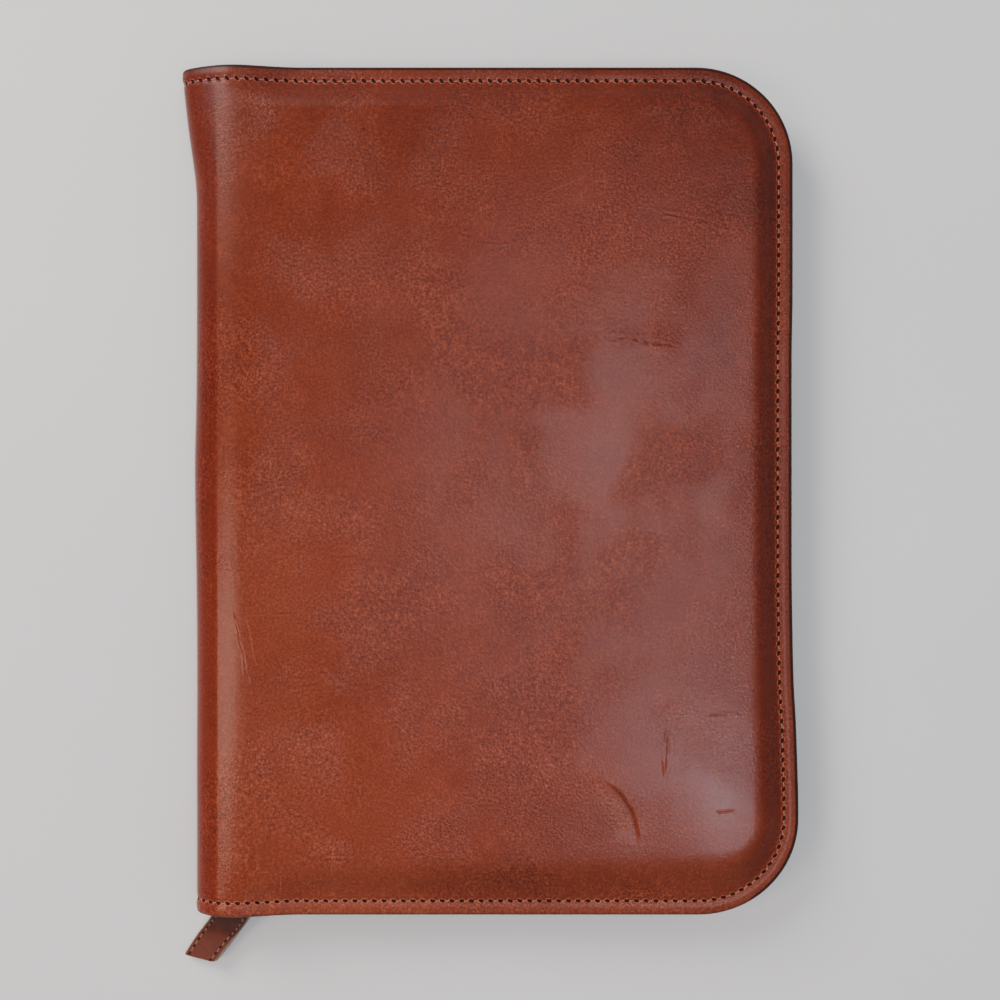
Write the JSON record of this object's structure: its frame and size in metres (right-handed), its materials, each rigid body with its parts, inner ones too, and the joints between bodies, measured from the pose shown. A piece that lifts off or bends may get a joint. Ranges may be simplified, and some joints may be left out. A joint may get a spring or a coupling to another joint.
{
  "type": "leather document case",
  "caption": "Zip-around leather case for papers: one hide wraps front, spine and back, and a stitched leather pull hangs from the slider at the tail.",
  "frame": {"origin": "centre of the flat back cover, which the case lies on", "axes": "+X from the spine to the zip side, +Y from tail to head, +Z out of the front cover"},
  "size_m": [0.258, 0.3759, 0.028],
  "materials": {
    "hide_leather": "glossy smooth aniline, worn and mottled chestnut",
    "pull_leather": "satin, darker brown",
    "zip_cloth": "woven dark brown tape",
    "zip_brass": "antique, dull"
  },
  "bodies": {
    "root": {"leather_wrap": "hide_leather", "zip_tape_front": "zip_cloth", "zip_tape_back": "zip_cloth", "zip_teeth": "zip_brass", "zip_slider": "zip_brass", "zip_stop_head": "zip_brass", "zip_stop_tail_front": "zip_brass", "zip_stop_tail_back": "zip_brass", "pull_strap": "pull_leather"}
  },
  "joints": []
}
